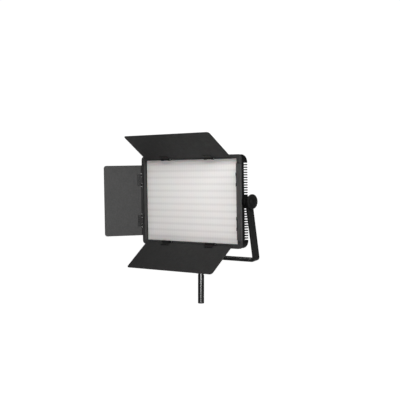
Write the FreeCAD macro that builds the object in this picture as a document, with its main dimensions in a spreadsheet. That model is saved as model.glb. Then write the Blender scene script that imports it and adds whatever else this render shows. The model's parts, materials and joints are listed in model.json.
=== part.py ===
import FreeCAD, Part
import math
import os
import re

import Sketcher

# LED panel light on a tilting yoke, with a four-leaf barndoor and a 16 mm stand spigot.
# Millimetres. +Z up, the light shines towards -Y. The origin is the foot of the spigot's
# round wall, just above its chamfer.
# Head pieces are drawn upright, X across, Z up, Y back from the front face of the barndoor
# frame, and then placed on the yoke pivot. Yoke pieces are drawn upright about that pivot.

SIZES = [
    # stand spigot and clamp
    ("spigot_radius", 8), ("spigot_length", 97), ("spigot_chamfer", 1),
    ("groove_low", 74), ("groove_high", 76.5), ("groove_radius", 7.4),
    ("socket_radius", 13), ("socket_low", 77.5), ("socket_high", 98), ("socket_gap", 0.1),
    ("tongue_half", 10.6), ("tongue_radius", 7.5), ("pin_height", 106.5),
    ("clamp_height", 88), ("clamp_screw_radius", 3), ("clamp_knob_radius", 10.5),
    ("clamp_knob_start", 18.5), ("clamp_knob_depth", 14),
    # knuckle under the yoke
    ("fork_half", 15), ("fork_ear", 4), ("fork_base", 3.5), ("fork_radius", 8),
    ("fork_offset", -3),
    ("knuckle_bolt_radius", 4), ("knuckle_clearance", 0.06), ("knuckle_drop", 162.5),
    ("lock_knob_radius", 10), ("lock_knob_start", 17), ("lock_knob_depth", 14),
    ("fork_rivet_radius", 2.2), ("fork_rivet_offset", 6), ("fork_rivet_head", 1.4),
    ("hex_head_radius", 7.2), ("hex_head_height", 5), ("screw_end_gap", 0.4),
    # yoke
    ("yoke_half", 197), ("yoke_thick", 6.5), ("yoke_bar", 20), ("yoke_drop", 150.5),
    ("yoke_bend", 3.5), ("yoke_tilt", 10.5), ("eye_radius", 4.3),
    ("tilt_knob_radius", 18.2), ("tilt_knob_face", 207), ("washer_thick", 1),
    ("washer_radius", 9), ("stud_radius", 4), ("stud_depth", 6.8),
    ("spacer_radius", 13), ("spacer_gap", 0.3),
    # head
    ("head_tilt", 1.38), ("pivot_depth", 18.5),
    ("frame_width", 361), ("frame_height", 233), ("frame_depth", 9), ("frame_wall", 1.5),
    ("frame_corner", 9), ("window_width", 341.4), ("window_height", 211.8),
    ("housing_corner", 20), ("bezel_back", 13.4), ("lip_back", 11.2), ("rebate", 2.4),
    ("diffuser_thick", 2), ("seat_gap", 0.2), ("gasket_back", 14.4), ("gasket_border", 5.2),
    ("housing_back", 29), ("cavity_width", 336), ("cavity_height", 206),
    ("cavity_back", 20), ("floor_back", 23), ("rim_back", 16.3), ("tray_half", 174),
    ("fin_pitch", 6.24), ("fin_gap", 3.1), ("first_gap", 18.6), ("gap_count", 13),
    ("fin_inner", 78), ("band_low", 105), ("band_high", 113.5), ("band_back", 27),
    ("frame_screw_x", 149), ("frame_screw_z", 111.2), ("small_screw_radius", 1.5),
    ("small_head_radius", 2.6), ("small_head_height", 1.3), ("screw_hole_radius", 1.6),
    ("insert_radius", 5), ("insert_length", 7),
    ("board_width", 334), ("board_height", 204), ("board_thick", 1.6), ("pad_thick", 0.5),
    ("row_count", 12), ("row_pitch", 17.2), ("row_length", 320), ("led_height", 3),
    ("led_thick", 1), ("ribbon_width", 20), ("ribbon_thick", 1), ("ribbon_x", 16),
    ("ribbon_z", 62),
    # rear control box
    ("box_width", 144), ("box_height", 154), ("box_back", 51), ("box_wall", 2),
    ("box_corner", 8), ("box_rim", 7), ("well_width", 136), ("well_height", 146),
    ("display_z", 49), ("display_width", 54), ("display_height", 24), ("display_lap", 3),
    ("shelf_depth", 1), ("window_thick", 0.9), ("module_thick", 4), ("module_lap", 3),
    ("button_z", 23), ("button_x", 17), ("button_radius", 5), ("button_proud", 2),
    ("button_travel", 1.2), ("button_flange", 1.2), ("switch_side", 6),
    ("switch_depth", 3.5),
    ("dial_z", -8), ("dial_x", 33), ("dial_radius", 13), ("dial_depth", 14),
    ("dial_gap", 0.6), ("dial_shaft_radius", 3), ("dial_shaft_depth", 4.5),
    ("dial_cap_wall", 2), ("pot_radius", 8), ("pot_depth", 8), ("pot_neck_radius", 3.9),
    ("pot_neck_depth", 6.5), ("pot_bore_depth", 5.5),
    ("rocker_x", 34), ("rocker_z", -47), ("rocker_width", 19), ("rocker_height", 13),
    ("rocker_frame", 2.4), ("rocker_flange", 1.4), ("rocker_depth", 14),
    ("rocker_wall", 1.2), ("rocker_cap_half", 7.4), ("rocker_cap_proud", 3.2),
    ("rocker_cap_dip", 1.2), ("rocker_cap_depth", 1.4), ("rocker_cap_gap", 0.4),
    ("rocker_axle_radius", 1.2),
    ("inlet_x", -24), ("inlet_z", -47), ("inlet_width", 27), ("inlet_height", 20),
    ("inlet_depth", 18), ("inlet_flange", 2), ("inlet_wall", 1.5), ("blade_width", 2),
    ("blade_length", 9), ("blade_height", 4.5), ("panel_gap", 0.2),
    ("box_screw_x", 65), ("box_screw_z", 70),
    # inside the rear control box
    ("supply_width", 50), ("supply_depth", 18), ("supply_height", 60), ("supply_x", -32),
    ("supply_z", 33.5), ("driver_width", 56), ("driver_height", 70), ("driver_x", 32),
    ("driver_z", 18), ("driver_lift", 4), ("chip_width", 12), ("chip_depth", 5),
    ("chip_height", 16), ("chip_x", 14), ("chip_z", 16),
    # barndoor leaves and hinges
    ("leaf_thick", 1.2), ("leaf_corner", 7), ("leaf_offset", 0.4), ("wide_leaf_start", 3.5),
    ("side_leaf_start", -2.5), ("notch_reach", 3.5), ("notch_gap", 0.5),
    ("wide_leaf_width", 315), ("wide_leaf_reach", 99.7), ("wide_hinge_out", 107.5),
    ("side_leaf_width", 188), ("side_leaf_reach", 105), ("side_hinge_out", 175.3),
    ("hinge_front", 3.84), ("top_opening", 38.3), ("bottom_opening", 40.9),
    ("left_opening", 25.9), ("right_opening", 49.3),
    ("wide_hinge_apart", 80), ("side_hinge_apart", 54.5), ("hinge_length", 34),
    ("knuckle_radius", 3.2), ("leaf_knuckle_radius", 2.5), ("hinge_pin_radius", 1.5),
    ("hinge_running", 0.06), ("leaf_knuckle_half", 8.6), ("hinge_plate_thick", 1),
    ("hinge_plate_reach", 13), ("rivet_apart", 10), ("rivet_reach", 10),
    ("rivet_radius", 1.5), ("rivet_head", 2.6), ("rivet_proud", 0.6),
    ("plate_inset", 2), ("plate_start", 4), ("bracket_inner", 0.8), ("bracket_outer", 5),
    ("bracket_thick", 1), ("knuckle_gap", 0.4), ("pin_proud", 0.2),
]

doc = FreeCAD.newDocument("led_panel_light")
sheet = doc.addObject("Spreadsheet::Sheet", "dims")
for row, (alias, number) in enumerate(SIZES, start=1):
    sheet.set(f"A{row}", alias)
    sheet.set(f"B{row}", str(number))
    sheet.setAlias(f"B{row}", alias)
doc.recompute()

size = {alias: float(sheet.get(alias)) for alias, _ in SIZES}
V = FreeCAD.Vector
parts = {}


# ---------------------------------------------------------------- helpers


def bind(obj, prop, formula):
    """Ties a property to a formula written with the sheet's aliases."""
    text = re.sub(r"[a-z]+(_[a-z]+)*", lambda m: "dims." + m[0] if m[0] in size else m[0],
                  str(formula))
    obj.setExpression(prop, text)


TURNS = {
    "z": FreeCAD.Rotation(),
    "y": FreeCAD.Rotation(V(1, 0, 0), -90),
    "x": FreeCAD.Rotation(V(0, 1, 0), 90),
}


def place(obj, at, along="z"):
    obj.Placement = FreeCAD.Placement(V(), TURNS[along])
    for letter, formula in zip("xyz", at):
        bind(obj, "Placement.Base." + letter, formula)
    return obj


def box(name, lengths, centre):
    """A block given by its three lengths and its centre."""
    obj = doc.addObject("Part::Box", name)
    for prop, formula in zip(("Length", "Width", "Height"), lengths):
        bind(obj, prop, formula)
    corner = [f"({c}) - ({n}) / 2" for c, n in zip(centre, lengths)]
    return place(obj, corner)


def rod(name, radius, length, start, along="z"):
    """A cylinder that begins at start and runs along an axis."""
    obj = doc.addObject("Part::Cylinder", name)
    bind(obj, "Radius", radius)
    bind(obj, "Height", length)
    return place(obj, start, along)


def join(name, pieces):
    obj = doc.addObject("Part::MultiFuse", name)
    obj.Shapes = pieces
    return obj


def cut(name, base, tools):
    obj = doc.addObject("Part::Cut", name)
    obj.Base = base
    obj.Tool = tools[0] if len(tools) == 1 else join(name + "_tools", tools)
    return obj


def group(name, pieces):
    """Several identical pieces kept as separate solids in one node."""
    obj = doc.addObject("Part::Compound", name)
    obj.Links = pieces
    return obj


def body(name):
    return doc.addObject("PartDesign::Body", name)


def plane(of, role):
    return next(f for f in of.Origin.OriginFeatures if f.Role == role)


def sketch(of, name, role="XZ_Plane", offset="0"):
    """A sketch on one of the body's own planes, moved off it by a formula."""
    new = of.newObject("Sketcher::SketchObject", name)
    new.AttachmentSupport = (plane(of, role), [""])
    new.MapMode = "FlatFace"
    bind(new, "AttachmentOffset.Base.z", offset)
    return new


def pin_point(on, shape_id, end, x, y):
    """Fixes one point of a sketch by its two coordinates."""
    for kind, formula in (("DistanceX", x), ("DistanceY", y)):
        index = on.addConstraint(Sketcher.Constraint(kind, -1, 1, shape_id, end, 1.0))
        on.renameConstraint(index, f"{kind}_{shape_id}_{end}")
        bind(on, f"Constraints.{kind}_{shape_id}_{end}", formula)


def polygon(on, corners, guess):
    """A closed outline; corners are pairs of formulas and guess their rough places."""
    first = on.GeometryCount
    count = len(corners)
    for i in range(count):
        a, b = guess[i], guess[(i + 1) % count]
        on.addGeometry(Part.LineSegment(V(*a, 0), V(*b, 0)))
    for i in range(count):
        following = first + (i + 1) % count
        on.addConstraint(Sketcher.Constraint("Coincident", first + i, 2, following, 1))
    for i, (x, y) in enumerate(corners):
        pin_point(on, first + i, 1, x, y)


def rectangle(on, width, height, x="0", y="0"):
    """A rectangle about a centre."""
    signs = ((-1, -1), (1, -1), (1, 1), (-1, 1))
    corners = [(f"({x}) + ({sx}) * ({width}) / 2", f"({y}) + ({sy}) * ({height}) / 2")
               for sx, sy in signs]
    polygon(on, corners, signs)


def circle(on, radius, x="0", y="0"):
    index = on.addGeometry(Part.Circle(V(0, 0, 0), V(0, 0, 1), 1))
    constraint = on.addConstraint(Sketcher.Constraint("Radius", index, 1.0))
    on.renameConstraint(constraint, f"radius_{index}")
    bind(on, f"Constraints.radius_{index}", radius)
    pin_point(on, index, 3, x, y)


def pad(of, profile, length, both=False, reverse=False):
    new = of.newObject("PartDesign::Pad", profile.Name + "_pad")
    new.Profile = profile
    bind(new, "Length", length)
    new.Midplane = both
    new.Reversed = reverse
    doc.recompute()
    return new


def pocket(of, profile, length, both=False, reverse=False):
    """Cuts a sketch into the body and makes sure that it took material away."""
    before = of.Shape.Volume
    new = of.newObject("PartDesign::Pocket", profile.Name + "_pocket")
    new.Profile = profile
    bind(new, "Length", length)
    new.Midplane = both
    new.Reversed = reverse
    doc.recompute()
    if of.Shape.Volume > before - 0.01:
        raise RuntimeError(f"{profile.Name} cuts nothing")
    return new


def fillet(of, radius, wanted):
    """Rounds the edges whose middle and direction pass the test."""
    base = of.Tip
    names = []
    for i, edge in enumerate(base.Shape.Edges, start=1):
        if isinstance(edge.Curve, Part.Line):
            middle = edge.CenterOfMass
            direction = edge.Curve.Direction
            if wanted(middle, direction):
                names.append(f"Edge{i}")
    new = of.newObject("PartDesign::Fillet", base.Name + "_fillet")
    new.Base = (base, names)
    bind(new, "Radius", radius)
    doc.recompute()
    return new


def revolve(of, corners, guess):
    """Turns an outline of (radius, height) pairs about the body's Z axis."""
    profile = sketch(of, of.Name + "_profile")
    polygon(profile, corners, guess)
    new = of.newObject("PartDesign::Revolution", of.Name + "_turned")
    new.Profile = profile
    new.ReferenceAxis = (profile, ["V_Axis"])
    new.Angle = 360
    doc.recompute()
    return new


def keep(name, obj, where):
    """Records a finished sub-part and puts it in its place on the light."""
    if any("Placement" in path for path, _ in obj.ExpressionEngine):
        # its own place is bound to the sheet, so the light's placement goes on a wrapper
        obj = group(name + "_set", [obj])
    obj.Label = name
    obj.Placement = where.multiply(obj.Placement)
    parts[name] = obj


# ---------------------------------------------------------------- frames of reference

X_AXIS = V(1, 0, 0)
upright = FreeCAD.Rotation(X_AXIS, size["yoke_tilt"])
knuckle = V(0, size["fork_offset"], -size["knuckle_drop"])
pivot = V(0, 0, size["pin_height"]) - upright.multVec(knuckle)
GROUND = FreeCAD.Placement()
YOKE = FreeCAD.Placement(pivot, upright)
HEAD = FreeCAD.Placement(pivot, FreeCAD.Rotation(X_AXIS, size["head_tilt"])).multiply(
    FreeCAD.Placement(V(0, -size["pivot_depth"], 0), FreeCAD.Rotation()))
FORWARD = V(0, -1, 0)


# ---------------------------------------------------------------- stand spigot and knuckle


def stand_spigot():
    of = body("spigot")
    corners = [("0", "-spigot_chamfer"), ("spigot_radius - spigot_chamfer", "-spigot_chamfer"),
               ("spigot_radius", "0"), ("spigot_radius", "groove_low"),
               ("groove_radius", "groove_low"), ("groove_radius", "groove_high"),
               ("spigot_radius", "groove_high"),
               ("spigot_radius", "spigot_length - spigot_chamfer"),
               ("spigot_radius - spigot_chamfer", "spigot_length"), ("0", "spigot_length")]
    guess = [(0, -1), (7, -1), (8, 0), (8, 74), (7.4, 74), (7.4, 76), (8, 76), (8, 96),
             (7, 97), (0, 97)]
    revolve(of, corners, guess)
    keep("stand_spigot", of, GROUND)


def receiver_socket():
    barrel = rod("socket_barrel", "socket_radius", "socket_high - socket_low",
                 ("0", "0", "socket_low"))
    neck = box("socket_neck", ("2 * tongue_half", "2 * tongue_radius",
                               "pin_height - socket_high + 1"),
               ("0", "0", "(pin_height + socket_high - 1) / 2"))
    eye = rod("socket_eye", "tongue_radius", "2 * tongue_half",
              ("-tongue_half", "0", "pin_height"), "x")
    solid = join("socket_solid", [barrel, neck, eye])
    bore = rod("socket_bore", "spigot_radius + socket_gap", "spigot_length - socket_low + 0.5",
               ("0", "0", "socket_low"))
    pin_bore = rod("socket_pin_bore", "knuckle_bolt_radius + knuckle_clearance",
                   "2 * tongue_half + 2", ("-tongue_half - 1", "0", "pin_height"), "x")
    screw_hole = rod("socket_screw_hole", "clamp_screw_radius + 0.1", "socket_radius + 1",
                     ("-socket_radius - 1", "0", "clamp_height"), "x")
    keep("receiver_socket", cut("socket", solid, [bore, pin_bore, screw_hole]), GROUND)


def hand_knob(name, radius, depth, screw, screw_from, screw_to, pose):
    """A small moulded knob drawn along +Z with its steel screw through the middle."""
    grip = body(name)
    corners = [(screw, "0"), (f"{radius} * 0.62", "0"), (f"{radius} * 0.62", f"{depth} * 0.28"),
               (radius, f"{depth} * 0.42"), (radius, f"{depth} * 0.88"),
               (f"{radius} * 0.86", depth), (screw, depth)]
    guess = [(3, 0), (6, 0), (6, 4), (10, 6), (10, 12), (9, 14), (3, 14)]
    revolve(grip, corners, guess)
    keep(name, grip, pose)
    shank = rod(name + "_shank", screw, f"({screw_to}) - ({screw_from})",
                ("0", "0", screw_from))
    return shank


def clamp_knob():
    pose = FreeCAD.Placement(V(-size["clamp_knob_start"], 0, size["clamp_height"]),
                             FreeCAD.Rotation(V(0, 1, 0), -90))
    shank = hand_knob("clamp_knob", "clamp_knob_radius", "clamp_knob_depth",
                      "clamp_screw_radius", "spigot_radius - clamp_knob_start + screw_end_gap",
                      "clamp_knob_depth", pose)
    keep("clamp_screw", shank, pose)


def yoke_fork():
    base = box("fork_plate", ("2 * fork_half", "yoke_bar", "fork_base"),
               ("0", "fork_offset", "-yoke_drop - fork_base / 2"))
    solids = [base]
    for side, sign in (("left", "-1"), ("right", "1")):
        middle = f"{sign} * (fork_half - fork_ear / 2)"
        ear = box(f"fork_ear_{side}", ("fork_ear", "2 * fork_radius",
                                       "knuckle_drop - yoke_drop"),
                  (middle, "fork_offset", "-(knuckle_drop + yoke_drop) / 2"))
        round_end = rod(f"fork_end_{side}", "fork_radius", "fork_ear",
                        (f"{middle} - fork_ear / 2", "fork_offset", "-knuckle_drop"), "x")
        solids += [ear, round_end]
    hole = rod("fork_hole", "knuckle_bolt_radius", "2 * fork_half + 2",
               ("-fork_half - 1", "fork_offset", "-knuckle_drop"), "x")
    rivet_holes = [rod(f"fork_rivet_hole_{i}", "fork_rivet_radius", "fork_base + 2",
                       (f"{sign} * fork_rivet_offset", "0", "-yoke_drop - fork_base - 1"))
                   for i, sign in enumerate(("-1", "1"))]
    keep("yoke_fork", cut("fork", join("fork_solid", solids), [hole] + rivet_holes), YOKE)


def fork_rivets():
    rivets = []
    for i, sign in enumerate(("-1", "1")):
        x = f"{sign} * fork_rivet_offset"
        shank = rod(f"fork_rivet_shank_{i}", "fork_rivet_radius", "fork_base + yoke_thick",
                    (x, "0", "-yoke_drop - fork_base"))
        head = rod(f"fork_rivet_head_{i}", "2 * fork_rivet_radius", "fork_rivet_head",
                   (x, "0", "-yoke_drop + yoke_thick"))
        rivets.append(join(f"fork_rivet_{i}", [shank, head]))
    keep("fork_rivets", group("fork_rivet_pair", rivets), YOKE)


def knuckle_bolt():
    shank = rod("knuckle_shank", "knuckle_bolt_radius",
                "fork_half + lock_knob_start - screw_end_gap",
                ("-fork_half", "fork_offset", "-knuckle_drop"), "x")
    head = doc.addObject("Part::Prism", "knuckle_head")
    head.Polygon = 6
    bind(head, "Circumradius", "hex_head_radius")
    bind(head, "Height", "hex_head_height")
    place(head, ("-fork_half - hex_head_height", "fork_offset", "-knuckle_drop"), "x")
    keep("knuckle_bolt", join("knuckle", [shank, head]), YOKE)


def knuckle_knob():
    seat = V(size["lock_knob_start"], 0, 0) + knuckle
    pose = YOKE.multiply(FreeCAD.Placement(seat, TURNS["x"]))
    shank = hand_knob("knuckle_knob", "lock_knob_radius", "lock_knob_depth",
                      "knuckle_bolt_radius", "0", "lock_knob_depth", pose)
    keep("knuckle_nut", shank, pose)


# ---------------------------------------------------------------- yoke and its side knobs


def yoke_bracket():
    of = body("yoke")
    profile = sketch(of, "yoke_profile")
    inner = "(yoke_half - yoke_thick)"
    top = "yoke_bar / 2"
    corners = [("-yoke_half", top), ("-yoke_half", "-yoke_drop"), ("yoke_half", "-yoke_drop"),
               ("yoke_half", top), (inner, top), (inner, "-yoke_drop + yoke_thick"),
               (f"-{inner}", "-yoke_drop + yoke_thick"), (f"-{inner}", top)]
    guess = [(-197, 10), (-197, -150), (197, -150), (197, 10), (190, 10), (190, -144),
             (-190, -144), (-190, 10)]
    polygon(profile, corners, guess)
    pad(of, profile, "yoke_bar", both=True)

    def outside(middle, way):
        return abs(way.y) > 0.9 and middle.z < 1 - size["yoke_drop"]

    def inside(middle, way):
        corner = middle.z - size["yoke_thick"] + size["yoke_drop"]
        return abs(way.y) > 0.9 and abs(corner) < 0.1

    def arm_top(middle, way):
        return abs(way.x) > 0.9 and middle.z > 1

    fillet(of, "yoke_bend + yoke_thick", outside)
    fillet(of, "yoke_bend", inside)
    fillet(of, "yoke_bar / 2 - 0.05", arm_top)
    eyes = sketch(of, "yoke_eyes", "YZ_Plane")
    circle(eyes, "eye_radius")
    pocket(of, eyes, "2 * yoke_half + 2", both=True)
    holes = sketch(of, "yoke_rivet_holes", "XY_Plane", "-yoke_drop")
    for sign in ("-1", "1"):
        circle(holes, "fork_rivet_radius", f"{sign} * fork_rivet_offset")
    pocket(of, holes, "4 * yoke_thick", both=True)
    keep("yoke_bracket", of, YOKE)


def tilt_knob(side, sign):
    """A mushroom hand knob with its stud, which screws through the yoke into the head."""
    turn = FreeCAD.Rotation(V(0, 1, 0), 90 * sign)
    pose = YOKE.multiply(FreeCAD.Placement(V(), turn))
    of = body("tilt_knob_" + side + "_grip")
    near = "yoke_half + washer_thick + 0.1"
    face = "tilt_knob_face"
    corners = [("stud_radius", near), ("0.42 * tilt_knob_radius", near),
               ("0.46 * tilt_knob_radius", f"{near} + 1.2"),
               ("0.9 * tilt_knob_radius", f"{face} - 5.2"),
               ("tilt_knob_radius", f"{face} - 3.6"), ("tilt_knob_radius", f"{face} - 0.9"),
               ("0.95 * tilt_knob_radius", face), ("stud_radius", face)]
    guess = [(4, 198), (8, 198), (8, 199), (16, 202), (18, 203), (18, 206), (17, 207),
             (4, 207)]
    revolve(of, corners, guess)
    keep("tilt_knob_" + side, of, pose)
    stud = rod("tilt_stud_rod_" + side, "stud_radius", "tilt_knob_face - 1 - frame_width / 2"
               " + stud_depth", ("0", "0", "frame_width / 2 - stud_depth"))
    keep("tilt_stud_" + side, stud, pose)


def knob_washers():
    washers = []
    for side, start in (("left", "-yoke_half - washer_thick"), ("right", "yoke_half")):
        disc = rod(f"washer_disc_{side}", "washer_radius", "washer_thick", (start, "0", "0"),
                   "x")
        hole = rod(f"washer_hole_{side}", "eye_radius", "washer_thick + 2",
                   (f"{start} - 1", "0", "0"), "x")
        washers.append(cut(f"washer_{side}", disc, [hole]))
    keep("knob_washers", group("washer_pair", washers), YOKE)


def friction_spacers():
    spacers = []
    length = "yoke_half - yoke_thick - frame_width / 2 - spacer_gap"
    for side, start in (("left", f"-frame_width / 2 - ({length})"),
                        ("right", "frame_width / 2")):
        disc = rod(f"spacer_disc_{side}", "spacer_radius", length,
                   (start, "pivot_depth", "0"), "x")
        hole = rod(f"spacer_hole_{side}", "stud_radius + 0.1", f"{length} + 2",
                   (f"{start} - 1", "pivot_depth", "0"), "x")
        spacers.append(cut(f"spacer_{side}", disc, [hole]))
    keep("friction_spacers", group("spacer_pair", spacers), HEAD)


# ---------------------------------------------------------------- head: front


def front_ring(name, front, back, corner):
    """The outline of the light round its window, between two depths."""
    of = body(name)
    profile = sketch(of, name + "_outline", "XZ_Plane", f"-({front})")
    rectangle(profile, "frame_width", "frame_height")
    rectangle(profile, "window_width", "window_height")
    pad(of, profile, f"({back}) - ({front})", reverse=True)
    edge = size["frame_width"] / 2 - 0.1
    fillet(of, corner, lambda middle, way: abs(way.y) > 0.9 and abs(middle.x) > edge)
    return of


def screw_circles(on, radius, x, z):
    for sx in (-1, 1):
        for sz in (-1, 1):
            circle(on, radius, f"{sx} * {x}", f"{sz} * {z}")


def barndoor_frame():
    of = front_ring("frame_ring", "0", "frame_depth", "frame_corner")
    channel = sketch(of, "frame_channel", "XZ_Plane", "-frame_depth")
    upright = "(frame_width - window_width) / 2 - 2 * frame_wall"
    level = "(frame_height - window_height) / 2 - 2 * frame_wall"
    for sign in ("-1", "1"):
        rectangle(channel, upright, "frame_height - 4 * frame_corner",
                  f"{sign} * (frame_width + window_width) / 4", "0")
        rectangle(channel, "frame_width - 4 * frame_corner", level,
                  "0", f"{sign} * (frame_height + window_height) / 4")
    pocket(of, channel, "frame_depth - frame_wall", reverse=True)
    holes = sketch(of, "frame_screw_holes")
    screw_circles(holes, "small_screw_radius", "frame_screw_x", "frame_screw_z")
    pocket(of, holes, "4 * frame_wall", both=True)
    keep("barndoor_frame", of, HEAD)


def front_bezel():
    of = front_ring("bezel_ring", "frame_depth", "bezel_back", "housing_corner")
    rebate = sketch(of, "bezel_rebate", "XZ_Plane", "-bezel_back")
    rectangle(rebate, "window_width + 2 * rebate", "window_height + 2 * rebate")
    pocket(of, rebate, "bezel_back - lip_back", reverse=True)
    holes = sketch(of, "bezel_screw_holes", "XZ_Plane", "-frame_depth")
    screw_circles(holes, "small_screw_radius", "frame_screw_x", "frame_screw_z")
    pocket(of, holes, "2 * bezel_back", both=True)
    keep("front_bezel", of, HEAD)


def frame_screws():
    screws = []
    for i, sx in enumerate((-1, 1)):
        for j, sz in enumerate((-1, 1)):
            x, z = f"{sx} * frame_screw_x", f"{sz} * frame_screw_z"
            head = rod(f"frame_screw_head_{i}{j}", "small_head_radius", "small_head_height",
                       (x, "-small_head_height", z), "y")
            shank = rod(f"frame_screw_shank_{i}{j}", "small_screw_radius",
                        "bezel_back - screw_end_gap", (x, "0", z), "y")
            screws.append(join(f"frame_screw_{i}{j}", [head, shank]))
    keep("frame_screws", group("frame_screw_set", screws), HEAD)


def diffuser_panel():
    lap = "2 * (rebate - seat_gap)"
    panel = box("diffuser", (f"window_width + {lap}", "diffuser_thick",
                             f"window_height + {lap}"),
                ("0", "lip_back + diffuser_thick / 2", "0"))
    keep("diffuser_panel", panel, HEAD)


def diffuser_gasket():
    width = "window_width + 2 * (rebate - seat_gap)"
    height = "window_height + 2 * (rebate - seat_gap)"
    of = body("gasket")
    profile = sketch(of, "gasket_outline", "XZ_Plane", "-(lip_back + diffuser_thick)")
    rectangle(profile, width, height)
    rectangle(profile, f"{width} - 2 * gasket_border", f"{height} - 2 * gasket_border")
    pad(of, profile, "gasket_back - lip_back - diffuser_thick", reverse=True)
    keep("diffuser_gasket", of, HEAD)


# ---------------------------------------------------------------- head: light engine


def light_engine():
    board_back = "cavity_back - pad_thick"
    pad_sheet = box("pad_sheet", ("board_width", "pad_thick", "board_height"),
                    ("0", "cavity_back - pad_thick / 2", "0"))
    keep("thermal_pad", pad_sheet, HEAD)
    board = box("board_sheet", ("board_width", "board_thick", "board_height"),
                ("0", f"{board_back} - board_thick / 2", "0"))
    keep("led_board", board, HEAD)
    rows = []
    for i in range(int(size["row_count"])):
        z = f"({i} - (row_count - 1) / 2) * row_pitch"
        y = f"{board_back} - board_thick - led_thick / 2"
        rows.append(box(f"led_row_{i}", ("row_length", "led_thick", "led_height"),
                        ("0", y, z)))
    keep("led_rows", group("led_row_set", rows), HEAD)


# ---------------------------------------------------------------- head: finned rear housing


def fin_gaps():
    """Slots between the fins: each wraps round the side edge and runs in to the middle."""
    blocks = []
    reach = size["frame_width"] / 2 + 1
    tray, inner = size["tray_half"], size["fin_inner"]
    rim, floor, back = size["rim_back"], size["floor_back"], size["housing_back"] + 1
    for side in (-1, 1):
        outline = [(inner, floor), (tray, floor), (tray, rim), (reach, rim), (reach, back),
                   (inner, back)]
        points = [V(side * x, y, 0) for x, y in outline]
        face = Part.Face(Part.makePolygon(points + points[:1]))
        for half in (-1, 1):
            for i in range(int(size["gap_count"])):
                middle = half * (size["first_gap"] + i * size["fin_pitch"])
                block = face.extrude(V(0, 0, size["fin_gap"]))
                block.translate(V(0, 0, middle - size["fin_gap"] / 2))
                blocks.append(block)
    obj = doc.addObject("Part::Feature", "fin_gaps")
    obj.Shape = Part.makeCompound(blocks)
    return obj


def rear_housing():
    of = body("housing_shell")
    outline = sketch(of, "housing_outline", "XZ_Plane", "-bezel_back")
    rectangle(outline, "frame_width", "frame_height")
    pad(of, outline, "housing_back - bezel_back", reverse=True)
    fillet(of, "housing_corner", lambda middle, way: abs(way.y) > 0.9)
    seat = sketch(of, "gasket_seat", "XZ_Plane", "-bezel_back")
    rectangle(seat, "window_width + 2 * rebate", "window_height + 2 * rebate")
    pocket(of, seat, "gasket_back - bezel_back")
    cavity = sketch(of, "light_cavity", "XZ_Plane", "-bezel_back")
    rectangle(cavity, "cavity_width", "cavity_height")
    pocket(of, cavity, "cavity_back - bezel_back")
    bands = sketch(of, "band_cavities", "XZ_Plane", "-bezel_back")
    for sign in ("-1", "1"):
        rectangle(bands, "cavity_width", "band_high - band_low - 1",
                  "0", f"{sign} * (band_low + band_high) / 2")
    pocket(of, bands, "band_back - bezel_back")
    well = sketch(of, "control_well", "XZ_Plane", "-housing_back")
    rectangle(well, "well_width", "well_height")
    pocket(of, well, "housing_back - floor_back", reverse=True)
    slot = sketch(of, "ribbon_slot", "XZ_Plane", "-floor_back")
    rectangle(slot, "ribbon_width + 4", "4 * ribbon_thick", "ribbon_x", "ribbon_z")
    pocket(of, slot, "4 * (floor_back - cavity_back)", both=True)
    for side, sign in (("left", "-1"), ("right", "1")):
        hole = sketch(of, f"pivot_hole_{side}", "YZ_Plane", f"{sign} * frame_width / 2")
        circle(hole, "insert_radius", "pivot_depth", "0")
        pocket(of, hole, "insert_length", reverse=side == "left")
    keep("rear_housing", cut("finned_housing", of, [fin_gaps()]), HEAD)


def pivot_inserts():
    """Threaded steel bushes in the solid blocks at half height."""
    inserts = []
    for side, start in (("left", "-frame_width / 2"),
                        ("right", "frame_width / 2 - insert_length")):
        tube = rod(f"insert_tube_{side}", "insert_radius", "insert_length",
                   (start, "pivot_depth", "0"), "x")
        hole = rod(f"insert_hole_{side}", "stud_radius + 0.1", "insert_length + 2",
                   (f"{start} - 1", "pivot_depth", "0"), "x")
        inserts.append(cut(f"insert_{side}", tube, [hole]))
    keep("pivot_inserts", group("insert_pair", inserts), HEAD)


# ---------------------------------------------------------------- head: rear control box

def control_housing():
    of = body("control_shell")
    outline = sketch(of, "control_outline", "XZ_Plane", "-housing_back")
    rectangle(outline, "box_width", "box_height")
    pad(of, outline, "box_back - housing_back", reverse=True)
    fillet(of, "box_corner", lambda middle, way: abs(way.y) > 0.9)
    hollow = sketch(of, "control_hollow", "XZ_Plane", "-housing_back")
    rectangle(hollow, "box_width - 2 * box_rim", "box_height - 2 * box_rim")
    pocket(of, hollow, "box_back - housing_back - box_wall")
    openings = sketch(of, "control_openings", "XZ_Plane", "-box_back")
    rectangle(openings, "display_width - 2 * display_lap",
              "display_height - 2 * display_lap", "0", "display_z")
    for sign in ("-1", "1"):
        circle(openings, "button_radius + 0.3", f"{sign} * button_x", "button_z")
        circle(openings, "dial_shaft_radius + 1", f"{sign} * dial_x", "dial_z")
    rectangle(openings, "rocker_width", "rocker_height", "rocker_x", "rocker_z")
    rectangle(openings, "inlet_width", "inlet_height", "inlet_x", "inlet_z")
    screw_circles(openings, "screw_hole_radius", "box_screw_x", "box_screw_z")
    pocket(of, openings, "2 * box_wall", both=True)
    shelf = sketch(of, "display_shelf", "XZ_Plane", "-box_back")
    rectangle(shelf, "display_width", "display_height", "0", "display_z")
    pocket(of, shelf, "shelf_depth", reverse=True)
    posts = sketch(of, "screw_channels", "XZ_Plane", "-housing_back")
    screw_circles(posts, "screw_hole_radius", "box_screw_x", "box_screw_z")
    pocket(of, posts, "box_back")
    keep("control_housing", of, HEAD)


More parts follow.
